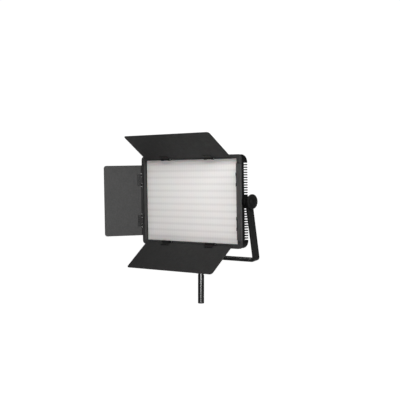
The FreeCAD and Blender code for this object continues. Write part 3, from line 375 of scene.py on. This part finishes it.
# each leaf has its own level of the one paint, the side leaves paler than the other two: painted
# light and shade for how the light falls on each leaf
for leaf, level in (("top", 0.020), ("bottom", 0.022), ("left", 0.028), ("right", 0.036)):
    MAT[f"leaf_{leaf}"] = coat(
        f"leaf_{leaf}_powder_coat", grey(level, 0.01), 0.62, grain=1500.0, depth=0.12 * MM,
        gloss=0.30, wear=0.5, crevice_shade=0.3, mottle=0.14, cloud=230.0,
        hinge=joints[f"leaf_{leaf}_hinge"])


# ---------------------------------------------------------------- dressing CAD nodes


CUT_THROUGH = {"control_housing"}            # flat walls with openings cut through them


def dress(node, material, edge):
    """Gives a CAD node its finish, and softens its edges by modifiers alone."""
    obj = nodes[node]
    for place in obj.material_slots:
        place.material = MAT[material]
    if not obj.material_slots:
        obj.data.materials.append(MAT[material])
    for face in obj.data.polygons:
        face.use_smooth = True
    weld = obj.modifiers.new("weld", "WELD")
    weld.merge_threshold = 0.002 * MM
    if node in CUT_THROUGH:
        merge = obj.modifiers.new("merge_flat", "DECIMATE")
        merge.decimate_type = "DISSOLVE"
        merge.angle_limit = math.radians(0.6)
    if edge:
        bevel = obj.modifiers.new("soft_edges", "BEVEL")
        bevel.width = edge
        bevel.segments = 2
        bevel.limit_method = "ANGLE"
        bevel.angle_limit = math.radians(35)
    flat = obj.modifiers.new("flat_faces", "WEIGHTED_NORMAL")
    flat.weight = 100
    flat.keep_sharp = True


# ---------------------------------------------------------------- making pieces


def finish_piece(name, mesh, pose, body, material, replaced=(), smooth=40.0):
    """Turns a bmesh into a named piece that rides on a body."""
    data = bpy.data.meshes.new(name)
    bmesh.ops.recalc_face_normals(mesh, faces=mesh.faces)
    mesh.to_mesh(data)
    mesh.free()
    data.materials.append(MAT[material])
    obj = bpy.data.objects.new(name, data)
    bpy.context.scene.collection.objects.link(obj)
    obj.matrix_world = pose
    for face in data.polygons:
        face.use_smooth = True
    data.set_sharp_from_angle(angle=math.radians(smooth))
    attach(obj, body)
    if replaced:
        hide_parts(*replaced)


def lathe(mesh, profile, steps, ripple=None, at=Matrix()):
    """Turns (radius, height) pairs about Z; ripple(angle, radius, height) moves a radius."""
    rings = []
    for radius, height in profile:
        ring = []
        for i in range(steps):
            a = TAU * i / steps
            r = ripple(a, radius, height) if ripple else radius
            ring.append(mesh.verts.new(at @ Vector((r * math.cos(a), r * math.sin(a),
                                                    height))))
        rings.append(ring)
    for low, high in zip(rings, rings[1:]):
        for i in range(steps):
            j = (i + 1) % steps
            mesh.faces.new((low[i], low[j], high[j], high[i]))
    mesh.faces.new(rings[0][::-1])
    mesh.faces.new(rings[-1])


def turned(outline, radius, start, depth):
    """A profile from shares of a radius and of a depth along the axis."""
    return [(r * radius, start + h * depth) for r, h in outline]


def slab(mesh, low, high, bevel=0.0):
    """A block between two corners, with softened edges where a bevel is given."""
    made = bmesh.ops.create_cube(mesh, size=1.0)["verts"]
    centre, size = (Vector(low) + Vector(high)) / 2, Vector(high) - Vector(low)
    for v in made:
        v.co = centre + Vector([c * s for c, s in zip(v.co, size)])
    if bevel:
        edges = {e for v in made for e in v.link_edges}
        bmesh.ops.bevel(mesh, geom=list(edges), offset=bevel, segments=2, profile=0.6,
                        affect="EDGES")


def side_pose(joint):
    """A frame whose Z axis is a joint's axis and whose origin is its place."""
    axis = Vector(joint["axis"]).normalized()
    turn = axis.to_track_quat("Z", "Y").to_matrix().to_4x4()
    return Matrix.Translation(Vector(joint["pos_m"])) @ turn


# ---------------------------------------------------------------- head


def diffuser():
    """The frosted sheet in front of the LEDs."""
    low, high = local_box("diffuser_panel", HEAD)
    mesh = bmesh.new()
    slab(mesh, low, high, 0.4 * MM)
    finish_piece("diffuser_sheet", mesh, HEAD, "head", "opal", ["diffuser_panel"])


def led_chips():
    """Phosphor-topped chips along each LED row."""
    chips, side, end = 40, 2.8 * MM, 1.5 * MM        # end: from a row's end to a chip's middle
    mesh = bmesh.new()
    for (low, high), z in zip(LED_ROWS, ROW_HEIGHTS):
        pitch = (high.x - low.x) / (chips - 0.5)
        for i in range(chips):
            x = min(low.x + end + pitch * i, high.x - end)
            slab(mesh, (x - side / 2, low.y, z - side / 2), (x + side / 2, high.y, z + side / 2))
    finish_piece("led_chips", mesh, HEAD, "head", "phosphor", ["led_rows"])


def socket_screws(node, side):
    """Domed screws with a six-sided socket. side: -1 with heads in front, 1 behind."""
    shank, head = 1.5 * MM, 1.3 * MM                 # the shank's radius, the head's height
    mesh = bmesh.new()
    for low, high in islands(node, HEAD):
        centre = (low + high) / 2
        radius, length = (high.x - low.x) / 2, high.y - low.y
        rim, key = 0.24 * radius, 0.5 * radius

        def six_sided(angle, r, height):
            if r > 1.01 * key or height < -head:
                return r
            return r * math.cos(TAU / 12) / math.cos(angle % (TAU / 6) - TAU / 12)

        profile = [(shank, -length), (shank, -head), (radius, -head)]
        for i in range(ARC_STEPS + 1):
            a = TAU / 4 * i / ARC_STEPS
            profile.append((radius - rim * (1 - math.cos(a)), 0.7 * head * (math.sin(a) - 1)))
        profile += [(key, 0), (key, -0.6 * head)]
        place = Vector((centre.x, low.y if side < 0 else high.y, centre.z))
        turn = Matrix.Rotation(-side * TAU / 4, 4, "X")
        lathe(mesh, profile, 48, six_sided, Matrix.Translation(place) @ turn)
    finish_piece(node + "_set", mesh, HEAD, "head", "screw", [node], smooth=30)


def tilt_knob(side):
    """Mushroom knob with a knurled rim and a dished cap."""
    ridges, ridge_depth = 60, 0.28 * MM
    pose = side_pose(joints[f"tilt_knob_{side}_turn"])
    low, high = local_box(f"tilt_knob_{side}", pose)
    radius, depth = high.x, high.z - low.z

    def knurl(angle, r, height):
        if r > 0.985 * radius:
            return r - ridge_depth * (0.5 + 0.5 * math.cos(ridges * angle))
        return r

    mesh = bmesh.new()
    stem = [(0.40, 0), (0.42, 0.10), (0.50, 0.20), (0.66, 0.30), (0.84, 0.42), (0.95, 0.50)]
    rim = [(0.992, 0.56), (1, 0.60), (1, 0.88), (0.988, 0.93), (0.955, 0.975), (0.91, 1)]
    cap = [(0.80, 1), (0.77, 0.95), (0.70, 0.91), (0.40, 0.89), (0.37, 0.94), (0.30, 0.97),
           (0.10, 0.98)]
    lathe(mesh, turned(stem + rim + cap, radius, low.z, depth), 240, knurl)
    finish_piece(f"tilt_knob_{side}_grip", mesh, pose, f"tilt_knob_{side}", "knob",
                 [f"tilt_knob_{side}"], smooth=32)


def small_knob(node, body):
    """A moulded knob whose rim is scalloped for the fingers."""
    lobes, scallop_depth = 6, 0.07                   # the depth is a share of the radius
    pose = side_pose(joints[node + "_turn"])
    low, high = local_box(node, pose)
    radius, depth = max(high.x, high.y), high.z - low.z

    def scallop(angle, r, height):
        if r > 0.8 * radius:
            return r - scallop_depth * radius * (0.5 - 0.5 * math.cos(lobes * angle)) ** 2
        return r

    mesh = bmesh.new()
    neck = [(0.58, 0), (0.61, 0.04), (0.61, 0.24), (0.70, 0.32), (0.93, 0.38)]
    rim = [(1, 0.44), (1, 0.86), (0.97, 0.93), (0.90, 0.98), (0.80, 1)]
    cap = [(0.45, 1), (0.42, 0.94), (0.10, 0.94)]
    lathe(mesh, turned(neck + rim + cap, radius, low.z, depth), 144, scallop)
    finish_piece(node + "_grip", mesh, pose, body, "knob", [node], smooth=35)


def dial(node):
    """A fluted control dial with a raised pointer line."""
    flutes, flute_depth, mark_width = 36, 0.35 * MM, 1.0 * MM
    pose = side_pose(joints[node + "_turn"])
    low, high = local_box(node, pose)
    radius, depth = max(high.x, high.y), high.z - low.z

    def flute(angle, r, height):
        if 0.74 * radius < r < 0.9 * radius and height > low.z + 0.2 * depth:
            return r - flute_depth * (0.5 + 0.5 * math.cos(flutes * angle))
        return r

    mesh = bmesh.new()
    skirt = [(0.9, 0), (0.98, 0.01), (1, 0.04), (1, 0.09), (0.97, 0.12), (0.90, 0.16)]
    grip = [(0.87, 0.21), (0.855, 0.3), (0.80, 0.85), (0.79, 0.91), (0.74, 0.97)]
    cap = [(0.69, 0.996), (0.60, 0.98), (0.1, 0.965)]
    lathe(mesh, turned(skirt + grip + cap, radius, low.z, depth), 216, flute)
    finish_piece(node + "_cap", mesh, pose, node, "dial", [node], smooth=32)
    mark = bmesh.new()
    slab(mark, (-mark_width / 2, 0.25 * radius, high.z - 0.05 * depth),
         (mark_width / 2, 0.66 * radius, high.z), 0.12 * MM)
    finish_piece(node + "_pointer", mark, pose, node, "print")


def dial_scale(node):
    """Short printed ticks round a dial, over the part of a turn that it travels."""
    ticks, inner, outer, outer_long = 11, 14.5 * MM, 16.3 * MM, 17.5 * MM
    width, thick, raised = 0.5 * MM, 0.12 * MM, 0.05 * MM
    joint = joints[node + "_turn"]
    centre = HEAD.inverted() @ Vector(joint["pos_m"])
    face = local_box("control_housing", HEAD)[1].y
    sweep = math.radians(joint["range_deg"][1])
    mesh = bmesh.new()
    for i in range(ticks):
        far = outer_long if i % 5 == 0 else outer
        turn = Matrix.Rotation(sweep * (2 * i / (ticks - 1) - 1), 4, "Y")
        for v in bmesh.ops.create_cube(mesh, size=1.0)["verts"]:
            v.co = turn @ Vector((v.co.x * width, v.co.y * thick,
                                  (inner + far) / 2 + v.co.z * (far - inner)))
            v.co += Vector((centre.x, face + raised, centre.z))
    finish_piece(node + "_scale", mesh, HEAD, "head", "print")


def push_button(node):
    """A rubber button with a thin flange and a rounded rim, turned about its own middle."""
    radius, flange, flange_thick, rim = 5.0 * MM, 1.2 * MM, 1.0 * MM, 0.9 * MM
    low, high = local_box(node, HEAD)
    centre, top = (low + high) / 2, high.y
    at = Matrix.Translation((centre.x, 0, centre.z)) @ Matrix.Rotation(-TAU / 4, 4, "X")
    shoulder = top - 1.0 * MM
    mesh = bmesh.new()
    profile = [(radius + flange, low.y), (radius + flange, low.y + flange_thick),
               (radius, low.y + flange_thick), (radius, shoulder)]
    for i in range(1, ARC_STEPS + 1):
        a = TAU / 4 * i / ARC_STEPS
        profile.append((radius - rim * (1 - math.cos(a)), shoulder + rim * math.sin(a)))
    profile += [(0.5 * radius, top - 0.02 * MM), (0.05 * radius, top)]
    lathe(mesh, profile, 64, at=at)
    finish_piece(node + "_cap", mesh, HEAD, node, "button", [node])


def display():
    """The window over the display module."""
    low, high = local_box("display_window", HEAD)
    mesh = bmesh.new()
    slab(mesh, low, high, 0.2 * MM)
    finish_piece("display_glass", mesh, HEAD, "head", "screen",
                 ["display_window"])


# ---------------------------------------------------------------- put it together

# each CAD node that no piece replaces: its finish, and the millimetres its edges are softened
DRESS = {
    "stand_spigot": ("spigot", 0.2), "receiver_socket": ("cast", 0.6),
    "clamp_screw": ("screw", 0.2), "yoke_bracket": ("yoke", 0.5),
    "yoke_fork": ("yoke", 0.4), "fork_rivets": ("rivet", 0.3),
    "knuckle_bolt": ("screw", 0.4), "knob_washers": ("screw", 0.1),
    "knuckle_nut": ("steel", 0.2), "barndoor_frame": ("frame", 0.35),
    "front_bezel": ("bezel", 0.35),
    "diffuser_gasket": ("foam", 0), "thermal_pad": ("pad", 0), "led_board": ("board", 0),
    "rear_housing": ("housing", 0.4), "pivot_inserts": ("steel", 0.1),
    "friction_spacers": ("knob", 0.6), "control_housing": ("box", 0.7),
    "display_module": ("green", 0),
    "potentiometers": ("steel", 0.2), "button_switches": ("box", 0.1),
    "rocker_case": ("rocker", 0.3), "mains_inlet": ("box", 0.3), "inlet_pins": ("steel", 0.2),
    "power_supply": ("supply", 0.3), "driver_board": ("green", 0), "led_ribbon": ("ribbon", 0),
    "hinge_brackets": ("hinge", 0.2), "hinge_pins": ("steel", 0.2),
    "tilt_stud_left": ("steel", 0.2), "tilt_stud_right": ("steel", 0.2),
    "dimmer_shaft": ("steel", 0.1), "colour_shaft": ("steel", 0.1),
    "power_rocker": ("rocker", 0.3),
}
for leaf in ("top", "bottom", "left", "right"):
    DRESS[f"leaf_{leaf}"] = (f"leaf_{leaf}", 0.3)
    DRESS[f"hinge_plates_{leaf}"] = ("hinge", 0.2)
    DRESS[f"leaf_rivets_{leaf}"] = ("rivet", 0.2)
for node_name, (finish, soft) in DRESS.items():
    dress(node_name, finish, soft * MM)

diffuser()
led_chips()
socket_screws("frame_screws", -1)
socket_screws("control_screws", 1)
for knob_side in ("left", "right"):
    tilt_knob(knob_side)
small_knob("clamp_knob", "clamp")
small_knob("knuckle_knob", "knuckle_lock")
for dial_name in ("dimmer_dial", "colour_dial"):
    dial(dial_name)
    dial_scale(dial_name)
for button_name in ("mode_button", "channel_button"):
    push_button(button_name)
display()


# ---------------------------------------------------------------- floor, light and camera


def world():
    """White to look at, softer as a light, so that black parts stay black."""
    as_light, as_seen = 0.03, 1.05
    made = bpy.data.worlds.new("studio")
    made.use_nodes = True
    tree = made.node_tree
    back = tree.nodes["Background"]
    back.inputs["Color"].default_value = (1, 1, 1, 1)
    seen = tree.nodes.new("ShaderNodeLightPath")
    level = tree.nodes.new("ShaderNodeMapRange")
    tree.links.new(seen.outputs["Is Camera Ray"], level.inputs["Value"])
    level.inputs["To Min"].default_value = as_light
    level.inputs["To Max"].default_value = as_seen
    tree.links.new(level.outputs[0], back.inputs["Strength"])
    bpy.context.scene.world = made


def floor():
    """A pale floor, as far below the light as the feet of its stand would be."""
    mesh = bpy.data.meshes.new("floor")
    reach, level = 40.0, -1.2
    mesh.from_pydata([(-reach, -reach, level), (reach, -reach, level), (reach, reach, level),
                      (-reach, reach, level)], [], [(0, 1, 2, 3)])
    obj = bpy.data.objects.new("studio_floor", mesh)
    bpy.context.scene.collection.objects.link(obj)
    material = bpy.data.materials.new("pale_floor")
    material.use_nodes = True
    shader = material.node_tree.nodes["Principled BSDF"]
    shader.inputs["Base Color"].default_value = (0.9, 0.9, 0.9, 1)
    shader.inputs["Roughness"].default_value = 0.9
    shader.inputs["Emission Color"].default_value = (1, 1, 1, 1)
    tree = material.node_tree
    seen = tree.nodes.new("ShaderNodeLightPath")
    tree.links.new(seen.outputs["Is Camera Ray"], shader.inputs["Emission Strength"])
    mesh.materials.append(material)


def soft_light(name, bearing, above, size, power):
    """An area light that faces the middle of the head's front, at a bearing in degrees from
    straight in front towards +X, and above or below it by some metres."""
    far = 3.0
    angle = math.radians(bearing)
    out = Vector((far * math.sin(angle), -far * math.cos(angle), above))
    data = bpy.data.lights.new(name, "AREA")
    data.shape = "RECTANGLE"
    data.size, data.size_y = size
    data.energy = power
    obj = bpy.data.objects.new(name, data)
    bpy.context.scene.collection.objects.link(obj)
    obj.location = HEAD.translation + out
    obj.rotation_euler = (-out).to_track_quat("-Z", "Y").to_euler()


def camera():
    """A long lens at the front right, almost level, that keeps the light left of the middle."""
    bearing, above, roll = math.radians(45.44), math.radians(0.77), math.radians(0.04)
    from_head = Vector((1.9178, -1.8475, 0.0382))    # from the middle of the head's front
    data = bpy.data.cameras.new("camera")
    data.lens = 93.2
    data.sensor_width = 36.0
    obj = bpy.data.objects.new("camera", data)
    bpy.context.scene.collection.objects.link(obj)
    obj.location = HEAD.translation + from_head
    look = Vector((-math.sin(bearing) * math.cos(above), math.cos(bearing) * math.cos(above),
                   -math.sin(above)))
    turn = look.to_track_quat("-Z", "Y")
    obj.rotation_mode = "QUATERNION"
    obj.rotation_quaternion = turn @ Quaternion((0, 0, 1), roll)
    bpy.context.scene.camera = obj


world()
floor()
soft_light("key", 40, 1.7, (1.8, 1.6), 84.0)
soft_light("key_low", 40, -0.2, (1.0, 0.6), 26.0)
soft_light("side", 72, 0.8, (1.8, 1.8), 60.0)
soft_light("rear", -158, 0.3, (1.8, 1.4), 80.0)
camera()
bpy.context.scene.view_settings.view_transform = "Standard"
